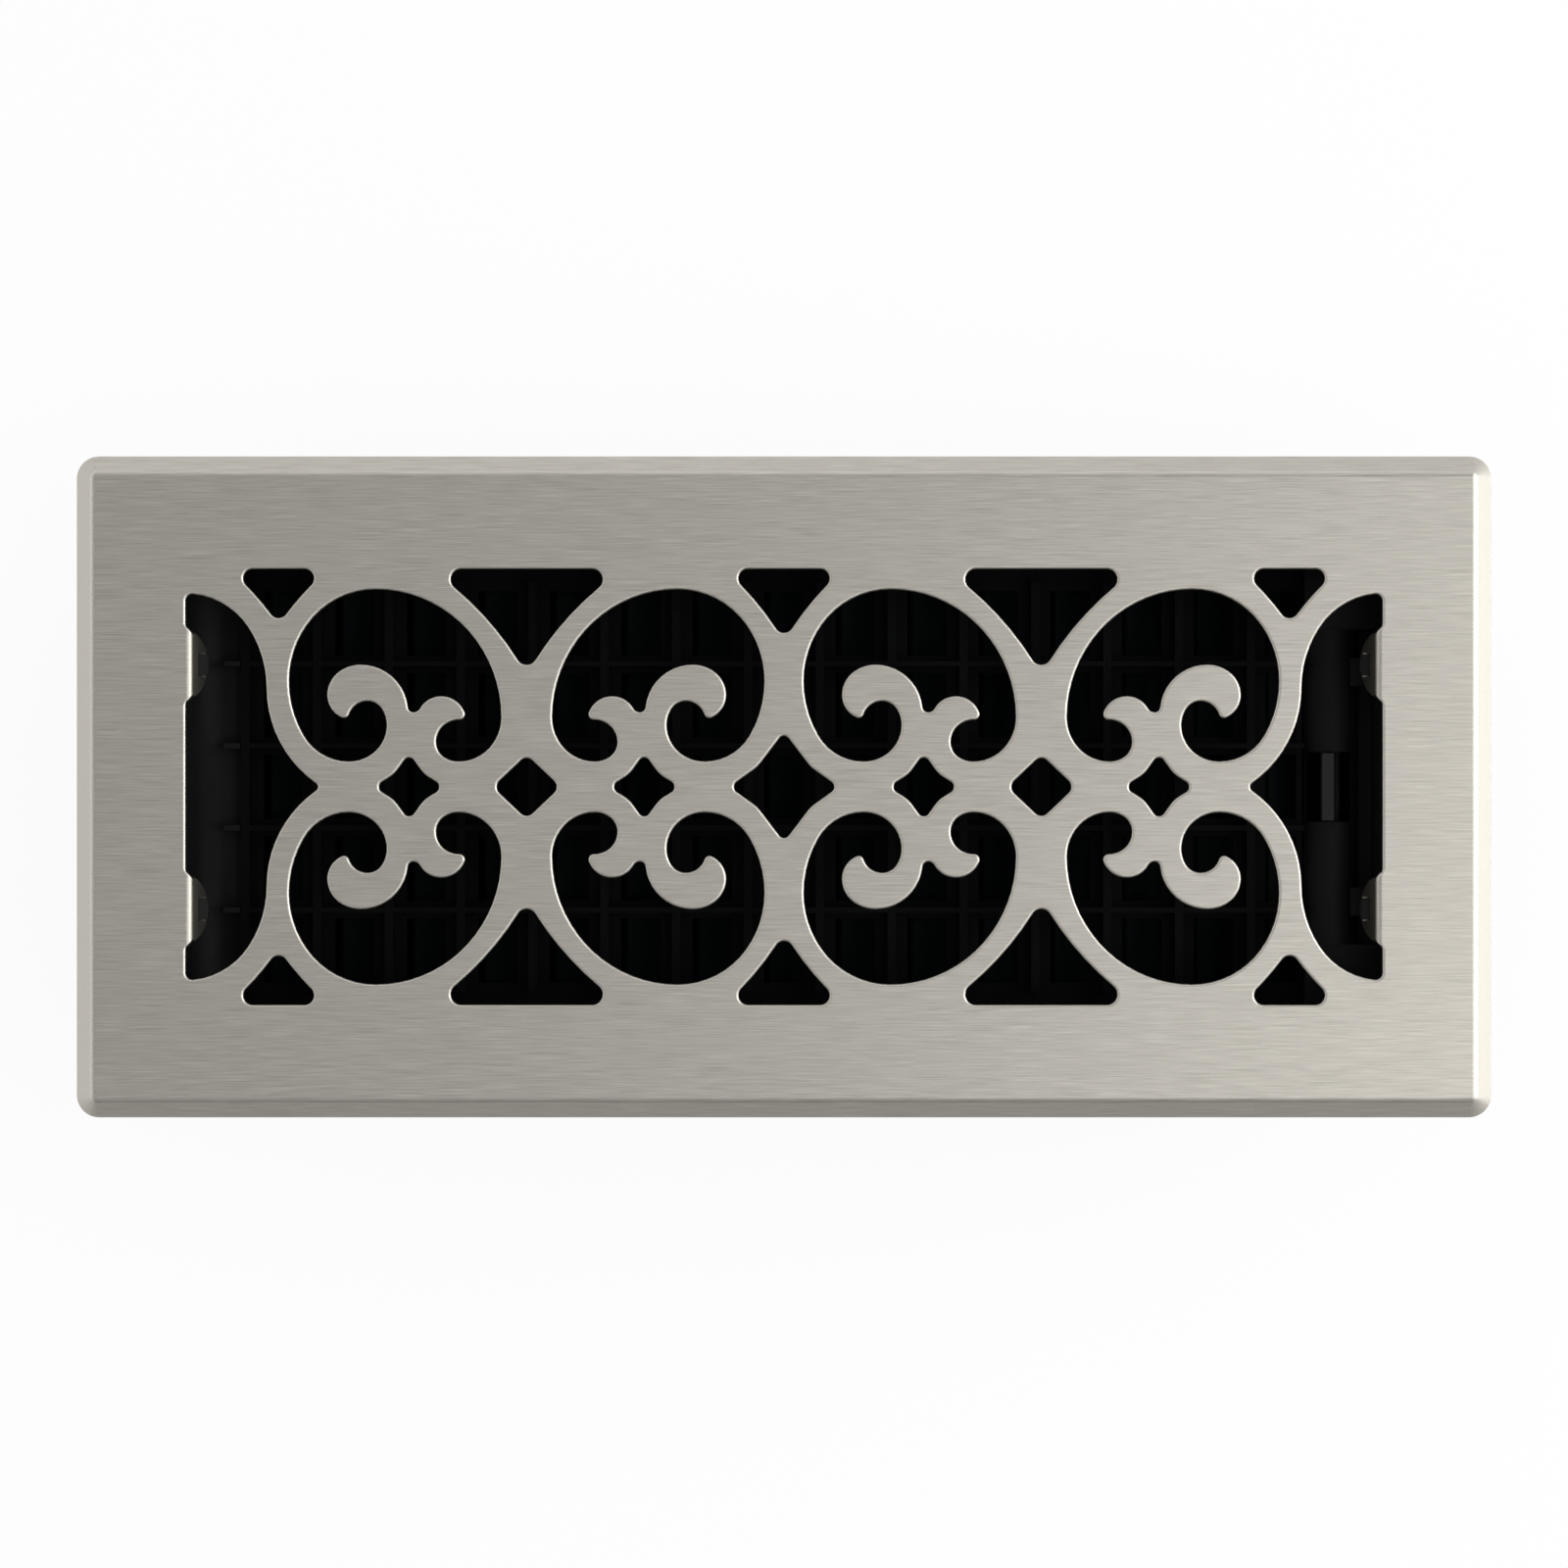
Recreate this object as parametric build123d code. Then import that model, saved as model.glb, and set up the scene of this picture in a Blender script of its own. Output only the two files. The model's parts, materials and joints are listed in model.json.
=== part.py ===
from build123d import *
import os
from math import asin, copysign, cos, degrees, radians, sin, tan

# A floor register for a four by ten inch duct opening: a pressed steel face plate with a pierced scroll
# pattern, clipped to a black moulded box with a support grid and fifteen linked louvers.
# Millimetres and degrees. +X runs along the plate, +Z up, and the box stands on z = 0.

# Duct opening in the floor, and the box that drops into it
duct_length = 254.0
duct_width = 101.6
duct_play = 2.0
box_drop = 40.0
box_wall = 1.5
box_corner = 3.0
lead_in = 0.8

# Face plate
plate_length = 292.1
plate_width = 136.5
plate_rise = 4.5
sheet = 1.4
rim_bevel = 3.8
face_corner = 0.8
under_corner = 0.3

# Scroll pattern, measured from the middle of the plate, as drawn for end openings that reach this far along it
pattern_reach = 123.1
axis_x = 52.95
pattern_half_width = 44.8
star_offset = 24.2
star_size = (7.25, 6.8)
star_waist = (3.1, 2.5)
heart_size = (11.1, 11.2)
heart_waist = (5.45, 4.05)
tip_round = 1.2
waist_round = 6.0
lozenge_size = (6.85, 6.5)
lozenge_round = 1.7
large_triangle = (19.7, 21.6)
large_triangle_side = (8.85, 9.4)
large_triangle_round = 2.1
small_triangle = (12.15, 14.7)
small_triangle_side = (5.9, 6.4)
end_triangle_x = 104.0
end_triangle = (10.15, 11.35)
end_triangle_side = (4.9, 5.1)
small_triangle_round = 1.9
end_waist_x = 106.55
end_waist_y = 20.4
end_waist_radius = 24.1
end_top_gap = 5.1
end_corner_round = 1.4
end_point_round = 0.85

# One scroll, from the axis of its pair: the points where its edge runs level or upright, in order
scroll_start = (5.3, 14.35)
crown_x = 31.05
crown_gap = 4.2
far_side = (48.85, 21.8)
scroll_rise = 5.3
large_bottom_x = 36.6
large_back = (28.85, 12.75)
large_top = (32.75, 17.6)
large_tip = (37.6, 14.1)
finger_side = (41.1, 18.9)
finger_top = (34.15, 25.25)
valley = (23.3, 15.45)
small_top = (17.6, 18.75)
small_tip = (12.65, 15.0)
small_under = (13.85, 13.75)
small_side = (18.6, 9.25)
small_bottom_x = 14.05
scroll_tip_round = 1.05
large_top_round = 4.0
finger_top_round = 9.8
valley_round = 1.5

# Tabs folded down from the plate, and the hooks of the box that click through them
tab_y = 25.2
tab_width = 13.4
tab_shoulder = 1.2
tab_length = 5.0
tab_bend = 0.3
tab_angle = 60.0
tab_play = 0.4
hook_width = 4.4
hook_depth = 4.0
hook_height = 1.8
hook_tip = 0.4
hook_reach = 4.2
hook_play = 0.3

# Support grid
column_count = 15
column_bar = 6.74
row_count = 5
row_bar = 3.6
grid_border = 2.9
grid_depth = 18.5
grid_flange = 2.0
grid_rib = 4.0
cross_rib = 1.75
long_rib = 1.1
grid_play = 0.2
end_bar = 4.0
last_bar = 1.2

# Cove at the end away from the lever
cove_radius = 9.8
cove_sheet = 1.5
stub_length = 3.5

# Louvers, their pivots and cranks
pivot_offset = 3.1
pivot_radius = 1.5
pivot_play = 0.07
louver_overlap = 1.26
louver_top_gap = 0.25
louver_sheet = 1.2
louver_lean = 50.0
louver_end_gap = 0.6
rail_depth = 1.5
rail_below = 3.0
rail_above = 2.0
crank_radius = 5.5
crank_sheet = 2.0
crank_half = 1.9
crank_pin = 1.1
crank_play = 0.06

# Link bar
link_sheet = 1.8
link_height = 4.0
link_wall_gap = 0.4
link_crank_gap = 0.2
link_end = 3.5
link_stem = 3.0
link_eye = 2.6

# Thumb lever and its hood
lever_wall_gap = 2.8
lever_rise = 8.5
lever_swing = 33.0
lever_lean = 10.0
lever_shaft = 2.0
lever_play = 0.07
lever_reach = 8.0
lever_width = 14.0
lever_sheet = 2.7
lever_round = 0.4
hood_radius = 5.9
hood_wall = 1.2
hood_half = 33.0
hood_cheek = 1.6
slot_play = 0.3
bearing_under = 3.5
bearing_half = 4.2
bearing_gap = 3.0
shelf_rise = 4.0
shelf_sheet = 1.4
block_from = 3.5
block_to = 5.9
block_half = 2.9
block_shift = 1.2
block_rise = 6.5

# Heights and half sizes that follow
face_z = box_drop + plate_rise
under_z = face_z - sheet
box_x = duct_length / 2 - duct_play
box_y = duct_width / 2 - duct_play
inner_x = box_x - box_wall
inner_y = box_y - box_wall
opening_x = inner_x - tab_play
stretch = opening_x / pattern_reach
rail_y = inner_y - rail_depth
grid_top = face_z - grid_depth
grid_under = grid_top - grid_flange
rib_top = grid_top + grid_rib
hook_under = face_z - hook_depth
link_far_y = rail_y - link_wall_gap
link_near_y = link_far_y - link_sheet
crank_far_y = link_near_y - link_crank_gap
crank_near_y = crank_far_y - crank_sheet
lever_x = inner_x - lever_wall_gap - hood_radius
hood_near_x = lever_x - hood_radius
cove_x = -inner_x + cove_radius
grid_low_x = cove_x + grid_play
grid_high_x = hood_near_x - grid_play
column_pitch = -2 * (grid_low_x + cross_rib / 2) / column_count
window_length = column_pitch - column_bar
row_pitch = 2 * (rail_y - grid_border) / row_count
window_width = row_pitch - row_bar
louver_chord = column_pitch + louver_overlap
pivot_z = grid_under - louver_top_gap - louver_chord / 2
rail_under = pivot_z - rail_below
rail_top = pivot_z + rail_above
lever_z = pivot_z + lever_rise
shelf_z = lever_z + shelf_rise
slot_angle = lever_swing + degrees(asin(lever_sheet / 2 / hood_radius))
slot_low_x = lever_x - hood_radius * sin(radians(slot_angle + lever_lean)) - slot_play
slot_high_x = lever_x + hood_radius * sin(radians(slot_angle - lever_lean)) + slot_play
pin_end_y = inner_y - grid_play
link_z = pivot_z - crank_radius


def block(x, y, z):
    """A box between two values along each axis."""
    size = Box(x[1] - x[0], y[1] - y[0], z[1] - z[0])
    return Pos((x[0] + x[1]) / 2, (y[0] + y[1]) / 2, (z[0] + z[1]) / 2) * size


def rod(x, z, radius, y):
    """A round bar along Y between two values of y."""
    bar = Rot(90, 0, 0) * Cylinder(radius, y[1] - y[0])
    return Pos(x, (y[0] + y[1]) / 2, z) * bar


def across(profile, y):
    """A profile drawn in X and Z, drawn out along Y between two values of y."""
    return extrude(Pos(0, y[0], 0) * profile, amount=y[1] - y[0], dir=(0, 1, 0))


def upright(*lines):
    """A face in the X and Z plane from lines drawn in X and Y."""
    return Rot(90, 0, 0) * make_face(Curve() + list(lines))


def both_ends(shape):
    return [shape, mirror(shape, about=Plane.YZ)]


def both_sides(shape):
    return [shape, mirror(shape, about=Plane.XZ)]


def four_corners(shape):
    return [copy for half in both_ends(shape) for copy in both_sides(half)]


def quarter_turn(level, upright, small=None):
    """A quarter of an oval in two arcs that meet smoothly, between its level point and its upright one."""
    level, upright = Vector(*level), Vector(*upright)
    reach = upright - level
    short, long = sorted((abs(reach.X), abs(reach.Y)))
    small = small or short * (1 + short / long) / 2
    large = (long**2 + short**2 - 2 * long * small) / (2 * (short - small))
    wide = abs(reach.X) > abs(reach.Y)
    level_centre = level + Vector(0, copysign(large if wide else small, reach.Y))
    upright_centre = upright - Vector(copysign(small if wide else large, reach.X), 0)
    outer, inner = (level_centre, upright_centre) if wide else (upright_centre, level_centre)
    meet = outer + (inner - outer) * (large / (large - small))
    return [TangentArc(level, meet, tangent=(reach.X, 0)), TangentArc(upright, meet, tangent=(0, -reach.Y))]


def reverse_turn(start, end, radius):
    """An S between two level points, in two arcs that meet on the straight line between them."""
    start, end = Vector(*start), Vector(*end)
    reach = end - start
    both_radii = reach.length**2 / (2 * abs(reach.Y))
    meet = start + reach * (radius / both_radii)
    return [TangentArc(start, meet, tangent=(reach.X, 0)), TangentArc(end, meet, tangent=(-reach.X, 0))]


def drawn_out(*points):
    """Points of the pattern, drawn out along the plate to the length of this duct opening."""
    return [(x * stretch, y) for x, y in points]


def scroll_opening():
    """The opening inside one scroll: a wide sweep that winds in round a large and a small curled finger."""
    start, crown, far = drawn_out(scroll_start, (crown_x, pattern_half_width - crown_gap), far_side)
    large_bottom, back, top = drawn_out((large_bottom_x, scroll_rise), large_back, large_top)
    tip, side, over, dip = drawn_out(large_tip, finger_side, finger_top, valley)
    small_high, small_point, hook, small_back = drawn_out(small_top, small_tip, small_under, small_side)
    small_bottom = (small_bottom_x * stretch, scroll_rise)
    sweep = quarter_turn(small_bottom, start) + quarter_turn(crown, start)
    sweep += quarter_turn(crown, far) + quarter_turn(large_bottom, far)
    large_curl = quarter_turn(large_bottom, back) + quarter_turn(top, back)
    large_curl += reverse_turn(top, tip, large_top_round)
    finger = quarter_turn(tip, side, scroll_tip_round) + quarter_turn(over, side)
    finger += reverse_turn(over, dip, finger_top_round) + reverse_turn(dip, small_high, valley_round)
    small_curl = quarter_turn(small_high, small_point, scroll_tip_round) + quarter_turn(hook, small_point)
    small_curl += quarter_turn(hook, small_back) + quarter_turn(small_bottom, small_back)
    return make_face(Curve() + sweep + large_curl + finger + small_curl)


def triangle_opening(size, side, corner):
    """A triangle that hangs from the straight border, its two sides hollowed by the scrolls beside it."""
    (half, depth), (side_x, side_depth) = drawn_out(size, side)
    left, right, apex = (-half, 0), (half, 0), (0, -depth)
    falling = ThreePointArc(left, (-side_x, -side_depth), apex)
    rising = ThreePointArc(apex, (side_x, -side_depth), right)
    face = make_face(Curve() + [falling, rising, Line(right, left)])
    return Pos(0, pattern_half_width) * fillet(face.vertices(), corner)


def lozenge_opening():
    [(half_x, half_y)] = drawn_out(lozenge_size)
    face = make_face(Polyline((half_x, 0), (0, half_y), (-half_x, 0), (0, -half_y), close=True))
    return fillet(face.vertices(), lozenge_round)


def star_opening(size, waist):
    """A four-pointed opening whose sides bend inwards between the points, all its corners rounded."""
    (half_x, half_y), waist = drawn_out(size, waist)
    quarter = make_face(Polyline((0, 0), (half_x, 0), waist, (0, half_y), close=True))
    half = quarter + mirror(quarter, about=Plane.YZ)
    face = half + mirror(half, about=Plane.XZ)
    waists = [v for v in face.vertices() if abs(abs(v.X) - waist[0]) < 0.01]
    face = fillet(waists, waist_round)
    tips = [v for v in face.vertices() if abs(v.X * v.Y) < 0.01]
    return fillet(tips, tip_round)


def end_opening():
    """The opening at the end of the pattern, from the outer edge with the tabs to the point between scrolls."""
    waist = (end_waist_x * stretch, end_waist_y)
    centre_x = waist[0] - end_waist_radius
    point_x = centre_x + (end_waist_radius**2 - end_waist_y**2) ** 0.5
    middle_x = centre_x + end_waist_radius * cos(radians(30))
    middle_y = end_waist_y - end_waist_radius * sin(radians(30))
    top = (opening_x, pattern_half_width - end_top_gap)
    flank = ThreePointArc((point_x, 0), (middle_x, middle_y), waist)
    shoulder = quarter_turn(top, waist)
    edge = Line(top, (opening_x, 0))
    half = make_face(Curve() + [flank, edge, Line((opening_x, 0), (point_x, 0))] + shoulder)
    face = half + mirror(half, about=Plane.XZ)
    outer = [v for v in face.vertices() if abs(v.X - opening_x) < 0.01 and abs(v.Y) > 1]
    face = fillet(outer, end_corner_round)
    point = [v for v in face.vertices() if abs(v.X - point_x) < 0.01]
    return fillet(point, end_point_round)


def pattern_openings():
    """Every opening of the plate, as flat faces on the plane z = 0."""
    axis = axis_x * stretch
    offset = star_offset * stretch
    pair = [Pos(axis, 0) * copy for copy in both_ends(scroll_opening())]
    large = Pos(axis, 0) * triangle_opening(large_triangle, large_triangle_side, large_triangle_round)
    small = triangle_opening(small_triangle, small_triangle_side, small_triangle_round)
    last = triangle_opening(end_triangle, end_triangle_side, small_triangle_round)
    star = star_opening(star_size, star_waist)
    openings = [copy for half in pair for copy in four_corners(half)]
    openings += four_corners(large)
    openings += both_sides(small)
    openings += four_corners(Pos(end_triangle_x * stretch, 0) * last)
    openings += both_ends(Pos(axis - offset, 0) * star)
    openings += both_ends(Pos(axis + offset, 0) * star)
    openings += both_ends(Pos(axis, 0) * lozenge_opening())
    openings.append(star_opening(heart_size, heart_waist))
    openings += both_ends(end_opening())
    return openings


def plate_tab():
    """One half-round tab at the +X end: a bend down from the sheet, which swells out of its edge between two
    shoulders, and a leg that leans towards the middle."""
    outer = tab_bend + sheet
    bend_z = under_z - tab_bend
    turn = radians(tab_angle)
    section = make_face(
        Curve()
        + [
            Line((opening_x, bend_z + tab_bend), (opening_x, bend_z + outer)),
            RadiusArc(
                (opening_x, bend_z + outer),
                (opening_x - outer * sin(turn), bend_z + outer * cos(turn)),
                -outer,
            ),
            Line(
                (opening_x - outer * sin(turn), bend_z + outer * cos(turn)),
                (opening_x - tab_bend * sin(turn), bend_z + tab_bend * cos(turn)),
            ),
            RadiusArc(
                (opening_x - tab_bend * sin(turn), bend_z + tab_bend * cos(turn)),
                (opening_x, bend_z + tab_bend),
                tab_bend,
            ),
        ]
    )
    half = tab_width / 2
    base = half + tab_shoulder
    depth = outer * sin(turn)
    plan = make_face(
        Polyline(
            (-base, 0), (-half, depth), (-half, 2 * depth), (half, 2 * depth), (half, depth), (base, 0), close=True
        )
    )
    root_plane = Plane(origin=(opening_x, 0, bend_z), x_dir=(0, 1, 0), z_dir=(0, 0, 1))
    bend = across(Rot(90, 0, 0) * section, (-base, base)) & extrude(root_plane * plan, amount=2 * outer)
    outline = make_face(
        Curve() + [Line((-half, 0), (half, 0)), ThreePointArc((half, 0), (0, tab_length), (-half, 0))]
    )
    leg_plane = Plane(
        origin=(opening_x - outer * sin(turn), 0, bend_z + outer * cos(turn)),
        x_dir=(0, -1, 0),
        z_dir=(sin(turn), 0, -cos(turn)),
    )
    leg = extrude(leg_plane * outline, amount=sheet, dir=(sin(turn), 0, -cos(turn)))
    window = block(
        (opening_x - 2 * outer - hook_reach, opening_x + outer),
        (-hook_width / 2 - hook_play, hook_width / 2 + hook_play),
        (hook_under - hook_play, hook_under + hook_height - hook_tip + hook_play),
    )
    return Pos(0, tab_y, 0) * (bend + leg - window)


def face_plate():
    rim_lip = plate_rise - rim_bevel
    pan = Pos(0, 0, box_drop) * extrude(
        RectangleRounded(plate_length, plate_width, face_corner + rim_bevel), amount=plate_rise
    )
    pan = chamfer(pan.faces().sort_by(Axis.Z)[-1].edges(), rim_bevel)
    under_bevel = plate_rise - sheet - rim_lip
    land = rim_bevel + sheet * tan(radians(22.5)) - under_bevel
    hollow = Pos(0, 0, box_drop) * extrude(
        RectangleRounded(plate_length - 2 * land, plate_width - 2 * land, under_corner + under_bevel),
        amount=plate_rise - sheet,
    )
    hollow = chamfer(hollow.faces().sort_by(Axis.Z)[-1].edges(), under_bevel)
    plate = pan - hollow
    plate -= [
        extrude(Pos(0, 0, face_z - sheet / 2) * opening, amount=sheet, both=True) for opening in pattern_openings()
    ]
    return plate + four_corners(plate_tab())


def hood():
    """The half-round cover of the lever's shaft, with its slot, bearings and the shelves beside it."""
    inner = hood_radius - hood_wall
    shell = rod(lever_x, lever_z, hood_radius, (-hood_half, hood_half))
    shell -= rod(lever_x, lever_z, inner, (-hood_half + hood_cheek, hood_half - hood_cheek))
    shell -= block(
        (lever_x - 2 * hood_radius, lever_x + 2 * hood_radius),
        (-hood_half - 1, hood_half + 1),
        (lever_z - 2 * hood_radius, lever_z),
    )
    guide = block(
        (lever_x + block_from, lever_x + block_to),
        (tab_y - block_shift - block_half, tab_y - block_shift + block_half),
        (lever_z, lever_z + block_rise),
    )
    shell += both_sides(guide - rod(lever_x, lever_z, hood_radius - hood_wall / 2, (0, hood_half)))
    shell += block((lever_x + inner, inner_x + box_wall / 2), (-hood_half, hood_half), (lever_z - hood_wall, lever_z))
    cheek = block(
        (lever_x - bearing_half, lever_x + bearing_half),
        (hood_half - hood_cheek, hood_half),
        (lever_z - bearing_under, lever_z),
    )
    shell += both_sides(cheek)
    shelf = block(
        (hood_near_x, inner_x + box_wall / 2),
        (hood_half, inner_y + box_wall / 2),
        (shelf_z, shelf_z + shelf_sheet),
    )
    drop = block(
        (hood_near_x, hood_near_x + hood_wall),
        (hood_half, inner_y + box_wall / 2),
        (lever_z, shelf_z),
    )
    shell += both_sides(shelf + drop)
    shell -= rod(lever_x, lever_z, lever_shaft + lever_play, (-hood_half - 1, hood_half + 1))
    shell -= block(
        (lever_x - bearing_gap / 2, lever_x + bearing_gap / 2),
        (-hood_half - 1, hood_half + 1),
        (lever_z - 2 * bearing_under, lever_z),
    )
    slot_half_width = lever_width / 2 + slot_play
    shell -= block(
        (slot_low_x, slot_high_x),
        (-slot_half_width, slot_half_width),
        (lever_z, lever_z + 2 * hood_radius),
    )
    return shell


def cove():
    """The curved ramp at the end away from the lever, with the four rib ends that run out over it."""
    centre_z = grid_top + cove_radius
    ring = rod(cove_x, centre_z, cove_radius + cove_sheet, (-inner_y, inner_y))
    ring -= rod(cove_x, centre_z, cove_radius, (-inner_y - 1, inner_y + 1))
    keep = block(
        (-inner_x - box_wall / 2, cove_x),
        (-inner_y - box_wall / 2, inner_y + box_wall / 2),
        (grid_top - cove_sheet, centre_z),
    )
    ramp = ring & keep
    for y in row_bar_places():
        ramp += block((cove_x - stub_length, cove_x), (y - long_rib / 2, y + long_rib / 2), (grid_top, rib_top))
    return ramp


def row_bar_places():
    return [(i - row_count / 2) * row_pitch for i in range(1, row_count)]


def column_places():
    return [(i - (column_count - 1) / 2) * column_pitch for i in range(column_count)]


def hook():
    """A barb on the +X end wall, sloped on top and flat below."""
    tip_x = inner_x - hook_reach
    barb = upright(
        Polyline(
            (inner_x + box_wall / 2, hook_under),
            (inner_x + box_wall / 2, hook_under + hook_height),
            (inner_x, hook_under + hook_height),
            (tip_x, hook_under + hook_tip),
            (tip_x, hook_under),
            close=True,
        )
    )
    return across(barb, (tab_y - hook_width / 2, tab_y + hook_width / 2))


def pivot_rail():
    """The ledge along one long wall, with an open seat for each louver's pivot."""
    rail = block(
        (-inner_x - box_wall / 2, inner_x + box_wall / 2), (rail_y, inner_y + box_wall / 2), (rail_under, rail_top)
    )
    seat = pivot_radius + pivot_play
    for column_x in column_places():
        x = column_x + pivot_offset
        rail -= block((x - seat, x + seat), (rail_y - 1, inner_y), (pivot_z - seat, rail_top + 1))
    return rail


def damper_box():
    outer = extrude(RectangleRounded(2 * box_x, 2 * box_y, box_corner), amount=under_z)
    outer = chamfer(outer.faces().sort_by(Axis.Z)[0].edges(), lead_in)
    inside = extrude(RectangleRounded(2 * inner_x, 2 * inner_y, box_corner - box_wall), amount=under_z)
    box = outer - inside
    box += both_sides(pivot_rail())
    box += cove()
    box += hood()
    box += four_corners(hook())
    return box


def support_grid():
    """A drop-in grid of T-section bars, with two skirts that stand on the pivot rails."""
    half_width = inner_y - grid_play
    grid = block((grid_low_x, grid_high_x), (-half_width, half_width), (grid_under, grid_top))
    rows = [(i - (row_count - 1) / 2) * row_pitch for i in range(row_count)]
    windows = []
    for x in column_places():
        low = max(x - window_length / 2, grid_low_x + end_bar)
        high = min(x + window_length / 2, grid_high_x - last_bar)
        for y in rows:
            windows.append(
                block(
                    (low, high), (y - window_width / 2, y + window_width / 2), (grid_under - 1, grid_top + 1)
                )
            )
    grid -= windows
    rib_half_width = (row_count * row_pitch) / 2
    for x in column_places():
        bar_x = x - column_pitch / 2
        rib_x = (bar_x - cross_rib / 2, bar_x + cross_rib / 2)
        grid += block(rib_x, (-rib_half_width, rib_half_width), (grid_top, rib_top))
    for y in row_bar_places():
        grid += block((grid_low_x, grid_high_x), (y - long_rib / 2, y + long_rib / 2), (grid_top, rib_top))
    skirt = block((grid_low_x, grid_high_x), (rail_y, half_width), (rail_top, grid_under))
    return grid + both_sides(skirt)


def flat_pin(x, z, radius, lean, y):
    """A flat pin as thick as a blade, which turns on its two rounded edges, between two values of y."""
    section = Rot(0, 0, lean) * (Rectangle(2 * radius, louver_sheet) & Circle(radius))
    return across(Pos(x, 0, z) * (Rot(90, 0, 0) * section), y)


def crank(x, z):
    """An arm that hangs from a pivot, with its pin for the link bar."""
    arm = block(
        (x - crank_half, x + crank_half),
        (crank_near_y, crank_far_y),
        (z - crank_radius - crank_half, z + crank_half),
    )
    return arm + flat_pin(x, z - crank_radius, crank_pin, 0, (crank_far_y, link_far_y))


def louver(x):
    """One blade with its two pivots and a crank, leaning away from the lever at its upper edge."""
    free_y = -rail_y + louver_end_gap
    lean = 90 + louver_lean
    blade = Rot(90, 0, 0) * (Rot(0, 0, lean) * Rectangle(louver_chord, louver_sheet))
    piece = across(Pos(x, 0, pivot_z) * blade, (free_y, crank_near_y))
    piece += flat_pin(x, pivot_z, pivot_radius, lean, (-pin_end_y, free_y))
    piece += flat_pin(x, pivot_z, pivot_radius, lean, (crank_far_y, pin_end_y))
    return piece + crank(x, pivot_z)


def link_bar():
    """The bar that hangs on the crank pins by its notches, with a raised eye for the lever's pin."""
    first = column_places()[0] + pivot_offset
    stem_high_x = lever_x + link_eye
    eye_z = lever_z - crank_radius
    y = (link_near_y, link_far_y)
    bar = block((first - link_end, stem_high_x), y, (link_z - link_height / 2, link_z + link_height / 2))
    bar += block((stem_high_x - link_stem, stem_high_x), y, (link_z, eye_z))
    bar += rod(lever_x, eye_z, link_eye, y)
    hole = crank_pin + crank_play
    for column_x in column_places():
        x = column_x + pivot_offset
        bar -= block((x - hole, x + hole), (y[0] - 1, y[1] + 1), (link_z - link_height, link_z + hole))
    return bar - rod(lever_x, eye_z, hole, (y[0] - 1, y[1] + 1))


def thumb_lever():
    """The tab that the thumb moves, which leans away from the wall, its shaft and the crank for the link bar."""
    shaft = rod(lever_x, lever_z, lever_shaft, (-hood_half - hood_cheek, crank_near_y))
    tab = block((-lever_sheet / 2, lever_sheet / 2), (-lever_width / 2, lever_width / 2), (0, lever_reach))
    tab = fillet(tab.edges().filter_by(Axis.Y).group_by(Axis.Z)[-1], lever_round)
    tab = Pos(lever_x, 0, lever_z) * (Rot(0, -lever_lean, 0) * tab)
    return shaft + tab + crank(lever_x, lever_z)


def main():
    os.makedirs("parts", exist_ok=True)
    nodes = {
        "face_plate": face_plate(),
        "damper_box": damper_box(),
        "support_grid": support_grid(),
        "link_bar": link_bar(),
        "thumb_lever": thumb_lever(),
    }
    for i, x in enumerate(column_places(), 1):
        nodes[f"louver_{i:02d}"] = louver(x + pivot_offset)
    for name, solid in nodes.items():
        export_step(solid, f"parts/{name}.step")


main()
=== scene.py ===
# %% [markdown]
# A floor register, dressed for its picture
#
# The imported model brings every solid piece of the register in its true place: a pierced steel plate, a black
# moulded box, a drop-in grid, fifteen louvers, a link bar and a thumb lever. This lesson sets up the camera,
# gives the plate its rolled edges and each piece its finish, and then adds the floor and the lamps.

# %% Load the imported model
import json
from math import radians

import bmesh
import bpy
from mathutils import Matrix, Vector


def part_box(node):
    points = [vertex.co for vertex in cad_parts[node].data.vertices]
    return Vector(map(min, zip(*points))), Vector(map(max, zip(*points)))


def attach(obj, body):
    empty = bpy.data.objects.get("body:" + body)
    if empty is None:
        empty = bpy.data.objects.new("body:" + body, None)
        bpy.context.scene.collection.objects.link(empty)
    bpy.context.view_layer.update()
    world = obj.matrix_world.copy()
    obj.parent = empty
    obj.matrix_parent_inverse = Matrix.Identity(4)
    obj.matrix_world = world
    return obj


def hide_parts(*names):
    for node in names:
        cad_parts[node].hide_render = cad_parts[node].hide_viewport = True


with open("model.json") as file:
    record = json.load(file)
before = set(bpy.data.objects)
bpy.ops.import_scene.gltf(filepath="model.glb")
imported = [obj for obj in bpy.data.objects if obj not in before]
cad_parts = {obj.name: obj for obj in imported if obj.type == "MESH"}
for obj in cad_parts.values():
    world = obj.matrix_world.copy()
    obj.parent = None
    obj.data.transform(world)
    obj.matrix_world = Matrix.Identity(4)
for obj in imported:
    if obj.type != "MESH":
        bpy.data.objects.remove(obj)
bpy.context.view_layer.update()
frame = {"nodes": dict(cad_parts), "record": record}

mm = 0.001

# %% [markdown]
# The camera looks straight down, so it comes first: everything else is judged through it. The plate's outer
# edge fills 1442 of the picture's 1600 pixels, and the lens follows from that and from the camera's height.

# %% Camera
scene = bpy.context.scene
plate_low, plate_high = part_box("face_plate")
plate_length = plate_high.x - plate_low.x
picture_pixels = 1600
plate_pixels = 1442
camera_height = 0.9
picture_middle_y = 0.6 * mm
picture_width = plate_length * picture_pixels / plate_pixels
rim_z = frame["record"]["mounts"][0]["pos_m"][2]

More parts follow.
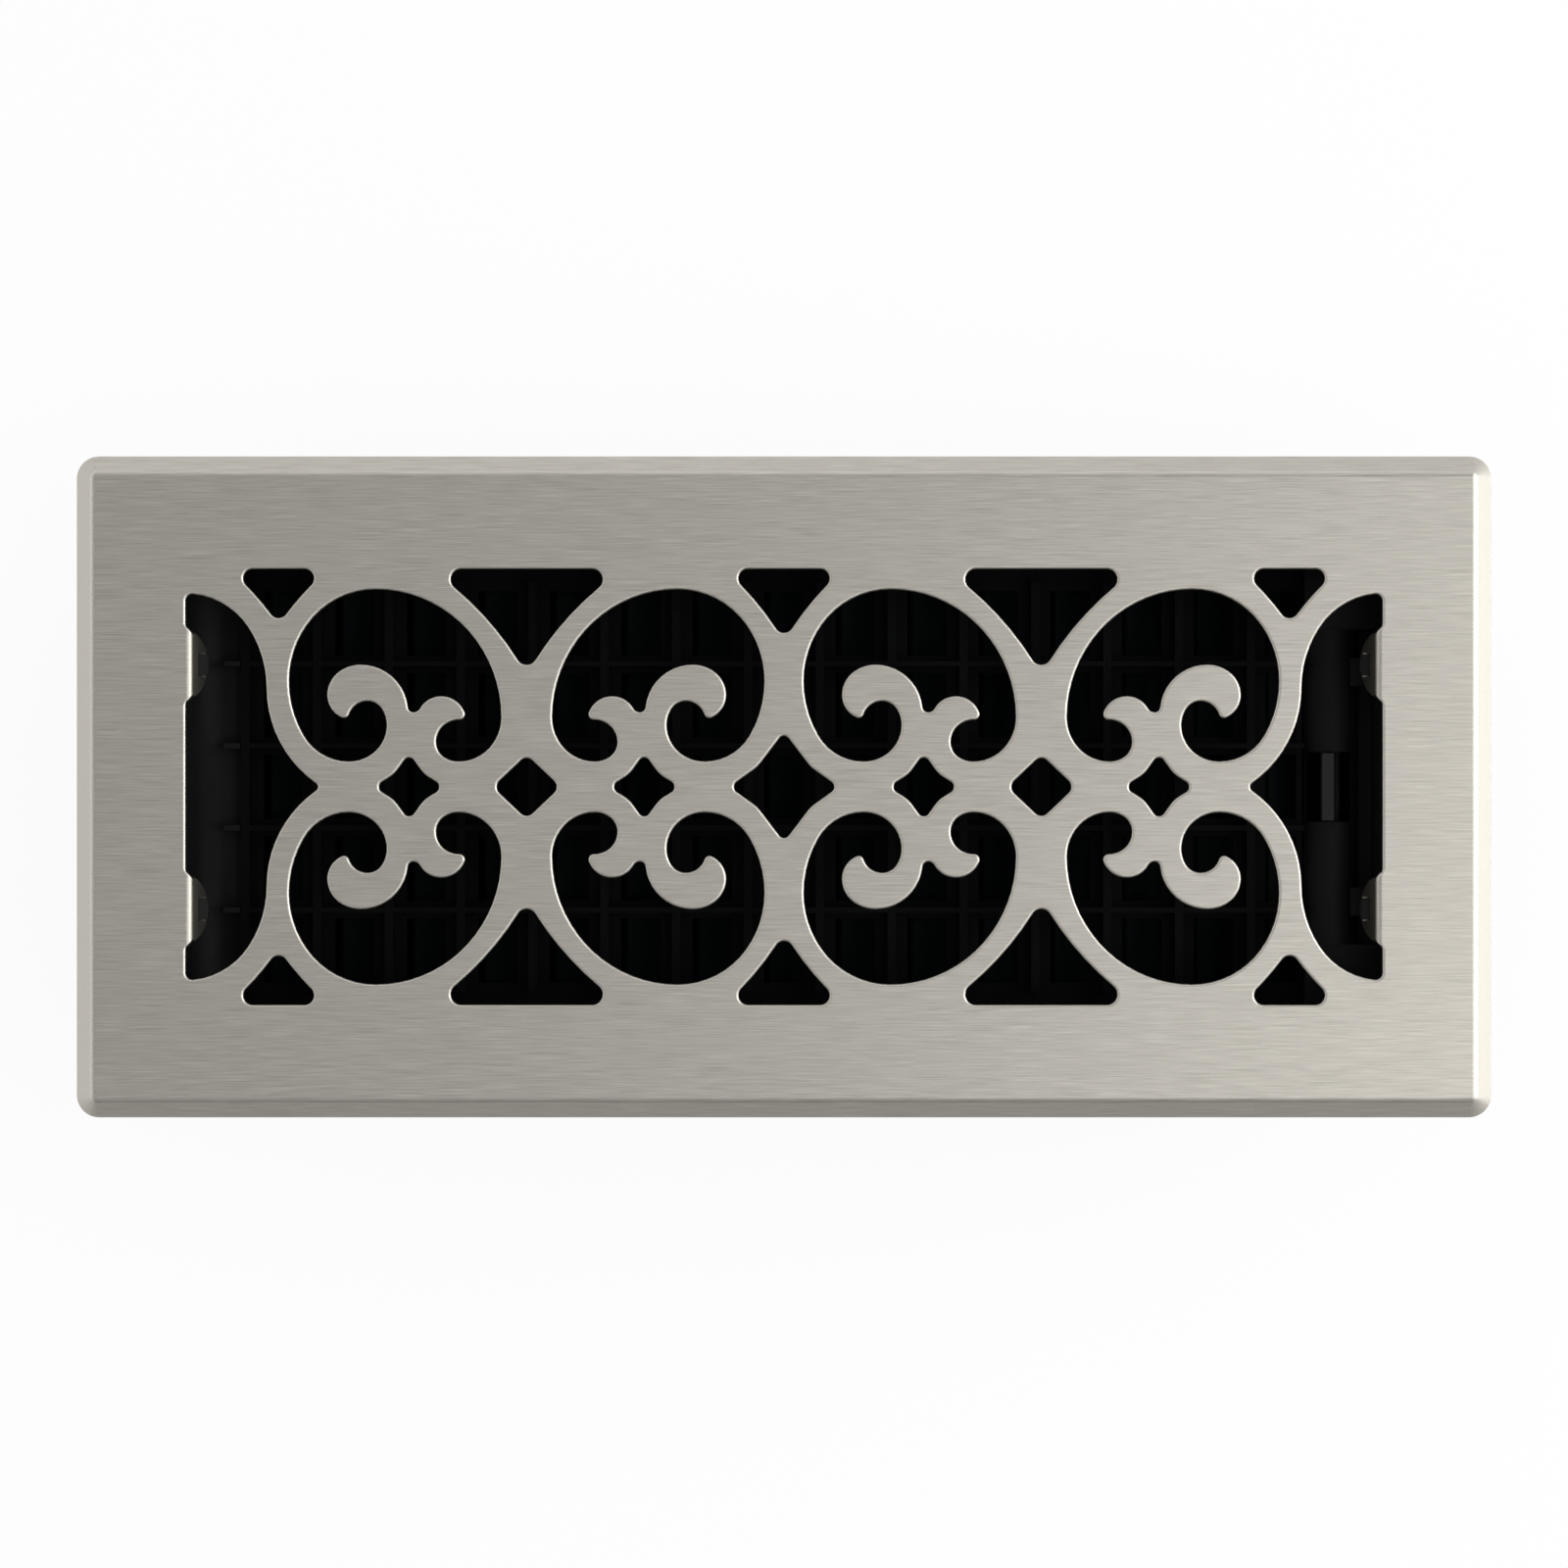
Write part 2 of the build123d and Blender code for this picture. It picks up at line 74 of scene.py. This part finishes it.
camera_data = bpy.data.cameras.new("camera")
camera_data.lens = camera_data.sensor_width * camera_height / picture_width
camera = bpy.data.objects.new("camera", camera_data)
camera.location = (0.0, picture_middle_y, rim_z + camera_height)
scene.collection.objects.link(camera)
scene.camera = camera
scene.view_settings.view_transform = "Standard"
print("lens:", round(camera_data.lens, 1), "mm")

# %% [markdown]
# Every colour below is written as it looks on a screen, as an sRGB hex value. Blender works in linear light,
# so one function turns the hex value into linear numbers. A second one adds a node, sets it and links it,
# and a third starts a material.


# %% Colour and node helpers
def linear(hex_colour):
    """An sRGB hex value such as "808080" as a linear colour with full opacity."""
    channels = [int(hex_colour[i : i + 2], 16) / 255 for i in (0, 2, 4)]
    curve = [c / 12.92 if c <= 0.04045 else ((c + 0.055) / 1.055) ** 2.4 for c in channels]
    return (*curve, 1.0)


def add_node(tree, kind, inputs=None, **settings):
    """Adds a node, with its settings, and with a value or a link for each input that is named."""
    node = tree.nodes.new(kind)
    for name, value in settings.items():
        setattr(node, name, value)
    for socket, value in (inputs or {}).items():
        if isinstance(value, bpy.types.NodeSocket):
            tree.links.new(value, node.inputs[socket])
        else:
            node.inputs[socket].default_value = value
    return node


def new_material(name):
    """An empty node material, its tree and its output node."""
    material = bpy.data.materials.new(name)
    material.use_nodes = True
    tree = material.node_tree
    tree.nodes.clear()
    return material, tree, tree.nodes.new("ShaderNodeOutputMaterial")


print("grey 808080 is", round(linear("808080")[0], 3), "in linear light")

# %% [markdown]
# The plate is steel, plated with nickel and brushed lengthwise with a fine belt. The eye sees a warm grey
# metal with hair lines along the plate, and reflections that spread across them. A picture of brushed metal
# could be laid on, but a noise texture that is stretched along X has no seams and needs no file. Real hair
# lines are about 0.05 mm wide, which is finer than a pixel, so they are drawn 0.12 mm wide and 9 mm long.
# They move the roughness, the tone and a very shallow bump. The belt doesn't reach the underside or the
# folded tabs, so these keep a plating without hair lines; its darker tone is painted shade, as they lie under
# the plate.


# %% Brushed nickel
def brushed_nickel():
    material, tree, output = new_material("brushed_nickel_plate")
    line_width = 0.12 * mm
    line_length = 9 * mm
    coords = add_node(tree, "ShaderNodeTexCoord")
    stretch = add_node(
        tree,
        "ShaderNodeMapping",
        {"Vector": coords.outputs["Object"], "Scale": (1 / line_length, 1 / line_width, 1 / line_width)},
    )
    lines = add_node(
        tree,
        "ShaderNodeTexNoise",
        {"Vector": stretch.outputs["Vector"], "Scale": 1.0, "Detail": 3.0, "Roughness": 0.6},
    )
    spread = add_node(
        tree, "ShaderNodeMapRange", {"Value": lines.outputs["Fac"], "From Min": 0.25, "From Max": 0.75}
    )
    tone = add_node(
        tree,
        "ShaderNodeMix",
        {"Factor": spread.outputs["Result"], "A": linear("a6a29a"), "B": linear("d5d1c8")},
        data_type="RGBA",
    )
    rough = add_node(
        tree,
        "ShaderNodeMapRange",
        {"Value": lines.outputs["Fac"], "From Min": 0.3, "From Max": 0.7, "To Min": 0.385, "To Max": 0.415},
    )
    bump = add_node(
        tree, "ShaderNodeBump", {"Height": lines.outputs["Fac"], "Strength": 0.04, "Distance": 0.05 * mm}
    )
    shader = add_node(
        tree,
        "ShaderNodeBsdfPrincipled",
        {
            "Base Color": tone.outputs["Result"],
            "Metallic": 1.0,
            "Roughness": rough.outputs["Result"],
            "Normal": bump.outputs["Normal"],
        },
    )
    tree.links.new(shader.outputs["BSDF"], output.inputs["Surface"])
    return material


def unbrushed_shaded_nickel():
    """The plating of the underside and of the folded tabs, where the belt does not reach, darker as painted
    shade.
    """
    material, tree, output = new_material("unbrushed_shaded_nickel_plate")
    cloud_size = 12 * mm
    coords = add_node(tree, "ShaderNodeTexCoord")
    clouds = add_node(
        tree,
        "ShaderNodeTexNoise",
        {"Vector": coords.outputs["Object"], "Scale": 1 / cloud_size, "Detail": 4.0},
    )
    # Painted shade: these darker greys stand for the shade under the plate.
    tone = add_node(
        tree,
        "ShaderNodeMix",
        {"Factor": clouds.outputs["Fac"], "A": linear("726f66"), "B": linear("807c73")},
        data_type="RGBA",
    )
    shader = add_node(
        tree,
        "ShaderNodeBsdfPrincipled",
        {"Base Color": tone.outputs["Result"], "Metallic": 1.0, "Roughness": 0.36},
    )
    tree.links.new(shader.outputs["BSDF"], output.inputs["Surface"])
    return material


nickel = brushed_nickel()
dull_shaded_nickel = unbrushed_shaded_nickel()
print("made", nickel.name, "and", dull_shaded_nickel.name)

# %% [markdown]
# The box and the grid are black ABS from a spark-eroded mould, which leaves a fine matt grain. The grid is
# the duller of the two. The louvers and the link bar are a cooler black, and the lever is charcoal. One
# function makes all four, because only the colours, the roughness and the shine differ. A small noise gives
# the grain, drawn 0.6 mm across so that it shows. A slower noise shifts the tone and the gloss a little, as
# the flow of the plastic does.


# %% Moulded plastic
def moulded_plastic(name, colour, paler, roughness, shine):
    """ABS that drifts from its colour to a paler one, with a fine grain and a soft gloss."""
    material, tree, output = new_material(name)
    grain_size = 0.6 * mm
    flow_size = 35 * mm
    glossier = 0.05
    duller = 0.08
    coords = add_node(tree, "ShaderNodeTexCoord")
    grain = add_node(
        tree,
        "ShaderNodeTexNoise",
        {"Vector": coords.outputs["Object"], "Scale": 1 / grain_size, "Detail": 2.0},
    )
    flow = add_node(
        tree,
        "ShaderNodeTexNoise",
        {"Vector": coords.outputs["Object"], "Scale": 1 / flow_size, "Detail": 3.0},
    )
    tone = add_node(
        tree,
        "ShaderNodeMix",
        {"Factor": flow.outputs["Fac"], "A": linear(colour), "B": linear(paler)},
        data_type="RGBA",
    )
    gloss = add_node(
        tree,
        "ShaderNodeMapRange",
        {
            "Value": flow.outputs["Fac"],
            "From Min": 0.3,
            "From Max": 0.7,
            "To Min": roughness - glossier,
            "To Max": roughness + duller,
        },
    )
    bump = add_node(
        tree, "ShaderNodeBump", {"Height": grain.outputs["Fac"], "Strength": 0.15, "Distance": 0.05 * mm}
    )
    shader = add_node(
        tree,
        "ShaderNodeBsdfPrincipled",
        {
            "Base Color": tone.outputs["Result"],
            "Roughness": gloss.outputs["Result"],
            "IOR": 1.53,
            "Specular IOR Level": shine,
            "Normal": bump.outputs["Normal"],
        },
    )
    tree.links.new(shader.outputs["BSDF"], output.inputs["Surface"])
    return material


black_abs = moulded_plastic("black_abs_moulding", "0b0d0c", "0f1110", roughness=0.6, shine=0.15)
grid_abs = moulded_plastic("matt_black_abs_moulding", "050606", "080909", roughness=0.65, shine=0.06)
louver_abs = moulded_plastic("slate_black_abs_moulding", "0e1314", "12181a", roughness=0.6, shine=0.06)
charcoal_abs = moulded_plastic("charcoal_abs_moulding", "252527", "303032", roughness=0.5, shine=0.15)
print("made", black_abs.name, grid_abs.name, louver_abs.name, charcoal_abs.name)

# %% [markdown]
# No edge on top of the real plate is sharp, because pressing rolls it over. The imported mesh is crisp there.
# A Bevel modifier with an angle limit would also round the lower edges and the corners of the walls, so the
# plate is copied, its triangles are merged into whole faces, and chosen edges are bevelled by an operator. A
# Weighted Normal modifier then keeps the flat faces looking flat.

# %% Soft edges
weld_distance = 0.002 * mm
flat_angle = radians(0.5)
sharp_angle = radians(40)


def merged_copy(node):
    """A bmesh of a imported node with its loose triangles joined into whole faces."""
    shape = bmesh.new()
    shape.from_mesh(frame["nodes"][node].data)
    bmesh.ops.remove_doubles(shape, verts=shape.verts, dist=weld_distance)
    bmesh.ops.dissolve_limit(
        shape, angle_limit=flat_angle, verts=shape.verts, edges=shape.edges, use_dissolve_boundaries=False
    )
    return shape


def round_edges(shape, edges, radius, segments):
    """Rolls the given edges over with a round of this radius."""
    bmesh.ops.bevel(
        shape,
        geom=edges,
        offset=radius,
        offset_type="OFFSET",
        affect="EDGES",
        segments=segments,
        profile=0.5,
        material=-1,
        clamp_overlap=False,
        loop_slide=False,
    )


def place(shape, name, node, body, material):
    """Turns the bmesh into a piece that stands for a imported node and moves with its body."""
    mesh = bpy.data.meshes.new(name)
    shape.to_mesh(mesh)
    shape.free()
    mesh.shade_smooth()
    mesh.set_sharp_from_angle(angle=sharp_angle)
    mesh.materials.append(material)
    piece = bpy.data.objects.new(name, mesh)
    scene.collection.objects.link(piece)
    even = piece.modifiers.new("flat_faces", "WEIGHTED_NORMAL")
    even.keep_sharp = True
    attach(piece, body)
    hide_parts(node)
    print(name, "has", len(mesh.polygons), "faces")
    return piece


plate = merged_copy("face_plate")
print("the copy of the plate has", len(plate.faces), "whole faces")

# %% [markdown]
# The plate was pierced from above and then pressed, so the upper edge of each opening is rolled over, and
# the fold between the flat face and the bevelled rim is soft. The edges are found by their slopes: one is
# rolled where an upward face meets a wall, so the roll also runs on into the bends of the folded tabs. What
# lies lower takes the darker nickel as painted shade, which also cuts short the highlight on the bends.

# %% Face plate
face_z = plate_high.z
rim_width = 5 * mm
level_slack = 0.01 * mm
fold_angle = radians(20)
fold_radius = 0.75 * mm
fold_segments = 6
wall_angle = radians(30)
wall_slope = 0.1
upward_slope = 0.4
roll_radius = 0.6 * mm
roll_segments = 4
rolled_depth = 0.85 * mm
# depth below the face where the painted shade of the darker nickel begins
painted_shade_depth = 0.35 * mm
stub = 0.4 * mm
shortest_split = 8 * stub


def is_rim(point):
    """True outside the pierced pattern, where the fold and the bevelled rim are."""
    return abs(point.x) > plate_high.x - rim_width or abs(point.y) > plate_high.y - rim_width


def edge_middle(edge):
    return (edge.verts[0].co + edge.verts[1].co) / 2


def is_fold(edge):
    """True on the line where the flat face folds down into the rim."""
    level = all(abs(vert.co.z - face_z) < level_slack for vert in edge.verts)
    return level and is_rim(edge_middle(edge)) and edge.calc_face_angle(0) > fold_angle


def is_upper(edge):
    """True where a face that looks up meets a wall, down to the end of a tab's bend."""
    slopes = sorted(face.normal.z for face in edge.link_faces)
    sharp = edge.calc_face_angle(0) > wall_angle
    middle = edge_middle(edge)
    high = middle.z > face_z - rolled_depth
    return sharp and slopes[0] < wall_slope and slopes[1] > upward_slope and high and not is_rim(middle)


def with_stubs(edges):
    """Cuts a short stub off both ends of each long edge: a roll that must thin out does so within it."""
    stubs = []
    for edge in edges:
        if edge.calc_length() > shortest_split:
            for vert in list(edge.verts):
                stubs.append(bmesh.utils.edge_split(edge, vert, stub / edge.calc_length())[0])
    return edges + stubs


round_edges(plate, [e for e in plate.edges if is_fold(e)], fold_radius, fold_segments)
round_edges(plate, with_stubs([e for e in plate.edges if is_upper(e)]), roll_radius, roll_segments)
plate.normal_update()
# Painted shade: faces below this depth, under the plate, take the darker nickel.
shaded_faces = [f for f in plate.faces if f.calc_center_median().z < face_z - painted_shade_depth]
shaded_faces = [f for f in shaded_faces if not is_rim(f.calc_center_median()) or f.normal.z < 0]
for face in shaded_faces:
    face.material_index = 1
dressed_plate = place(plate, "rolled_edge_plate", "face_plate", "housing", nickel)
dressed_plate.data.materials.append(dull_shaded_nickel)

# %% [markdown]
# The plastic pieces lie below the plate, most of them in the dark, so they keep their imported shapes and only
# take their finish. What isn't named here is a louver or the link bar.

# %% Plastic pieces
finishes = {"damper_box": black_abs, "support_grid": grid_abs, "thumb_lever": charcoal_abs}
for name, node in frame["nodes"].items():
    if name != "face_plate":
        node.data.materials.clear()
        node.data.materials.append(finishes.get(name, louver_abs))
print("dressed", len(frame["nodes"]) - 1, "plastic pieces")

# %% [markdown]
# The register stands on a plain white floor. More light would make the floor white, but it would bleach the
# metal too, so the floor glows for the camera instead. A part of its own shading stays, so that the soft
# shadow still shows, and the metal mirrors it as a light grey. Inside the box lies a dark sheet: painted
# shade for the dark of the duct that the register belongs over.


# %% Floor
def floor_piece(name, half_x, half_y, z, material):
    """A flat rectangle around the origin, at height z, that is a piece of the stage."""
    shape = bmesh.new()
    bmesh.ops.create_grid(shape, x_segments=1, y_segments=1, size=1.0)
    bmesh.ops.scale(shape, vec=(half_x, half_y, 1.0), verts=shape.verts)
    bmesh.ops.translate(shape, vec=(0, 0, z), verts=shape.verts)
    mesh = bpy.data.meshes.new(name)
    shape.to_mesh(mesh)
    shape.free()
    mesh.materials.append(material)
    piece = bpy.data.objects.new(name, mesh)
    scene.collection.objects.link(piece)
    print(name, "is", round(2 * half_x, 3), "by", round(2 * half_y, 3), "m")


def white_floor(camera_share, mirror_loss):
    """White paint that glows for the camera by this share, and less brightly in mirrored rays."""
    material, tree, output = new_material("white_floor")
    paint = add_node(tree, "ShaderNodeBsdfDiffuse", {"Color": linear("f4f4f4")})
    rays = add_node(tree, "ShaderNodeLightPath")
    mirrored = add_node(
        tree,
        "ShaderNodeMath",
        {0: rays.outputs["Is Glossy Ray"], 1: rays.outputs["Is Transmission Ray"]},
        operation="MAXIMUM",
    )
    strength = add_node(
        tree, "ShaderNodeMath", {0: mirrored.outputs[0], 1: -mirror_loss, 2: 1.0}, operation="MULTIPLY_ADD"
    )
    glow = add_node(
        tree, "ShaderNodeEmission", {"Color": linear("ffffff"), "Strength": strength.outputs[0]}
    )
    share = add_node(
        tree,
        "ShaderNodeMath",
        {0: rays.outputs["Is Camera Ray"], 1: camera_share, 2: mirrored.outputs[0]},
        operation="MULTIPLY_ADD",
    )
    both = add_node(
        tree,
        "ShaderNodeMixShader",
        {0: share.outputs[0], 1: paint.outputs["BSDF"], 2: glow.outputs["Emission"]},
    )
    tree.links.new(both.outputs["Shader"], output.inputs["Surface"])
    return material


# A dark sheet of painted shade that stands for the inside of a duct.
def painted_duct_shade():
    material, tree, output = new_material("painted_duct_shade")
    paint = add_node(tree, "ShaderNodeBsdfDiffuse", {"Color": linear("14191a")})
    tree.links.new(paint.outputs["BSDF"], output.inputs["Surface"])
    return material


box_low, box_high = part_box("damper_box")
floor_half = 4.0
floor_gap = 0.3 * mm
duct_inset = 1 * mm
duct_gap = 0.1 * mm
white_paint = white_floor(camera_share=0.93, mirror_loss=0.28)
duct_half_x = box_high.x - duct_inset
duct_half_y = box_high.y - duct_inset
floor_piece("floor", floor_half, floor_half, box_low.z - floor_gap, white_paint)
# painted shade: a dark sheet on the floor under the box
floor_piece("duct_shade_patch", duct_half_x, duct_half_y, box_low.z - duct_gap, painted_duct_shade())

# %% [markdown]
# The light is that of a small product studio. A large soft lamp hangs high on the right, a little in front,
# and makes the metal brighter towards that side. Below it a panel draws light lines on the rolled edges
# that face right, and a low strip whitens the right bevel. A weak lamp at the back lights the edges that
# face it. Near the ground the room is brighter at the back and at the sides than in front, which is why the
# back and side bevels are lighter than the face and the front bevel is darker.

# %% Light
lamp_target = Vector((0, 0, rim_z))


def soft_lamp(name, place_at, width, height, watts):
    lamp = bpy.data.lights.new(name, "AREA")
    lamp.shape = "RECTANGLE"
    lamp.size = width
    lamp.size_y = height
    lamp.energy = watts
    lamp_object = bpy.data.objects.new(name, lamp)
    lamp_object.location = place_at
    aim = lamp_target - Vector(place_at)
    lamp_object.rotation_euler = aim.to_track_quat("-Z", "Y").to_euler()
    scene.collection.objects.link(lamp_object)


soft_lamp("right_softbox", (0.6, -0.25, 1.0), width=0.9, height=1.0, watts=3.4)
soft_lamp("right_panel", (1.0, 0.25, 0.5), width=0.9, height=0.6, watts=5.5)
soft_lamp("right_strip", (1.1, -0.1, 0.14), width=0.8, height=0.25, watts=1.8)
soft_lamp("back_softbox", (0.3, 1.0, 0.6), width=1.2, height=0.7, watts=0.8)


def studio_room(overhead, front_gain, back_gain, side_gain):
    """A white room. Near the ground its light grows from the front to the back and towards both sides."""
    world = bpy.data.worlds.new("studio_room")
    world.use_nodes = True
    tree = world.node_tree
    tree.nodes.clear()
    coords = add_node(tree, "ShaderNodeTexCoord")
    ways = add_node(tree, "ShaderNodeSeparateXYZ", {"Vector": coords.outputs["Generated"]})
    depth = add_node(tree, "ShaderNodeMath", {0: 1.0, 1: ways.outputs["Z"]}, operation="SUBTRACT")
    lowness = add_node(tree, "ShaderNodeMath", {0: depth.outputs[0], 1: 2.0}, operation="POWER")
    front = add_node(tree, "ShaderNodeMath", {0: ways.outputs["Y"], 1: front_gain}, operation="MULTIPLY")
    back = add_node(tree, "ShaderNodeMath", {0: ways.outputs["Y"], 1: back_gain}, operation="MULTIPLY")
    along = add_node(tree, "ShaderNodeMath", {0: front.outputs[0], 1: back.outputs[0]}, operation="MAXIMUM")
    square = add_node(
        tree, "ShaderNodeMath", {0: ways.outputs["X"], 1: ways.outputs["X"]}, operation="MULTIPLY"
    )
    around = add_node(
        tree,
        "ShaderNodeMath",
        {0: square.outputs[0], 1: side_gain, 2: along.outputs[0]},
        operation="MULTIPLY_ADD",
    )
    level = add_node(
        tree,
        "ShaderNodeMath",
        {0: around.outputs[0], 1: lowness.outputs[0], 2: overhead},
        operation="MULTIPLY_ADD",
    )
    lit = add_node(tree, "ShaderNodeMath", {0: level.outputs[0], 1: 0.0}, operation="MAXIMUM")
    room = add_node(tree, "ShaderNodeBackground", {"Color": linear("ffffff"), "Strength": lit.outputs[0]})
    add_node(tree, "ShaderNodeOutputWorld", {"Surface": room.outputs["Background"]})
    return world


scene.world = studio_room(overhead=0.47, front_gain=0.5, back_gain=0.95, side_gain=1.6)
